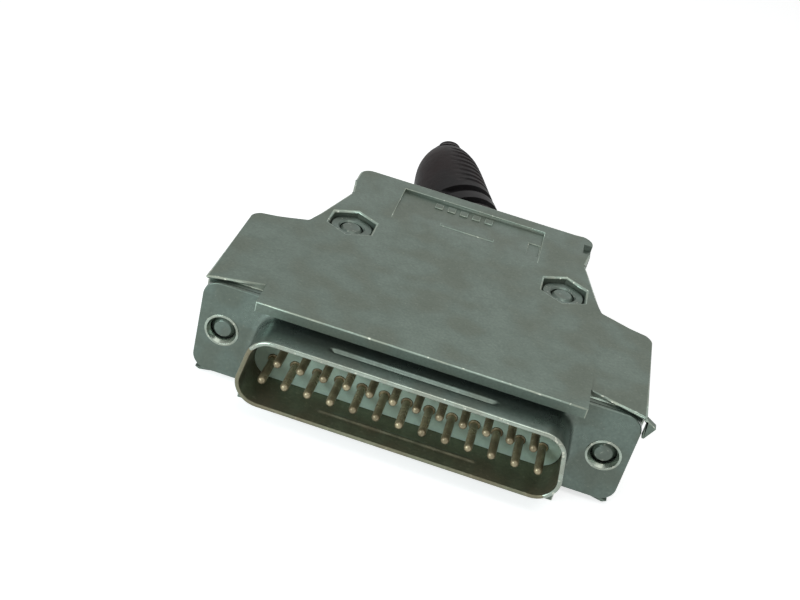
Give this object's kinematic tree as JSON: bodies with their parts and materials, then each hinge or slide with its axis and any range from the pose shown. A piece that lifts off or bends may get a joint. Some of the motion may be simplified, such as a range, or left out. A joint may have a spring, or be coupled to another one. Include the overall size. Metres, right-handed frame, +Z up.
{
  "type": "d-sub plug connector",
  "caption": "Male D-sub cable plug in a two-part metal hood, with two rows of round contacts, captive jackscrews and a ribbed rubber boot.",
  "frame": {"origin": "centre of the flange's front face", "axes": "-Y is the mating direction, +Y runs back to the cable, +Z is up with the wide side of the D below, +X is to the right as the plug's face is looked at"},
  "size_m": [0.0543, 0.0652, 0.0144],
  "materials": {
    "hood_metal": "satin plated die casting",
    "plug_steel": "satin tin plate",
    "insulator": "moulded",
    "contact": "thin gold plate",
    "fastener": "zinc plate",
    "clip_steel": "phosphated",
    "boot_rubber": "moulded"
  },
  "bodies": {
    "hood": {"hood_upper": "hood_metal", "hood_lower": "hood_metal", "front_shell": "plug_steel", "rear_shell": "plug_steel", "insulator_front": "insulator", "insulator_rear": "insulator", "pin_01": "contact", "pin_02": "contact", "pin_03": "contact", "pin_04": "contact", "pin_05": "contact", "pin_06": "contact", "pin_07": "contact", "pin_08": "contact", "pin_09": "contact", "pin_10": "contact", "pin_11": "contact", "pin_12": "contact", "pin_13": "contact", "pin_14": "contact", "pin_15": "contact", "pin_16": "contact", "pin_17": "contact", "pin_18": "contact", "pin_19": "contact", "pin_20": "contact", "pin_21": "contact", "pin_22": "contact", "pin_23": "contact", "pin_24": "contact", "pin_25": "contact", "eyelet_left": "fastener", "eyelet_right": "fastener", "hood_nut_left": "fastener", "hood_nut_right": "fastener", "hood_screw_left": "fastener", "hood_screw_right": "fastener", "cable_clamp": "plug_steel", "clamp_screw_left": "fastener", "clamp_screw_right": "fastener", "boot": "boot_rubber"},
    "left_clip": {"jackscrew_clip_left": "clip_steel"},
    "left_jackscrew": {"jackscrew_left": "fastener"},
    "right_clip": {"jackscrew_clip_right": "clip_steel"},
    "right_jackscrew": {"jackscrew_right": "fastener"}
  },
  "joints": [
    {"name": "left_jackscrew_slide", "type": "slide", "parent": "hood", "child": "left_clip", "axis": [0, -1, 0], "range_m": [0, 0.005]},
    {"name": "left_jackscrew_turn", "type": "hinge", "parent": "left_clip", "child": "left_jackscrew", "pos_m": [-0.02352, 0.011, 0], "axis": [0, -1, 0], "continuous": true},
    {"name": "right_jackscrew_slide", "type": "slide", "parent": "hood", "child": "right_clip", "axis": [0, -1, 0], "range_m": [0, 0.005]},
    {"name": "right_jackscrew_turn", "type": "hinge", "parent": "right_clip", "child": "right_jackscrew", "pos_m": [0.02352, 0.011, 0], "axis": [0, -1, 0], "continuous": true}
  ]
}
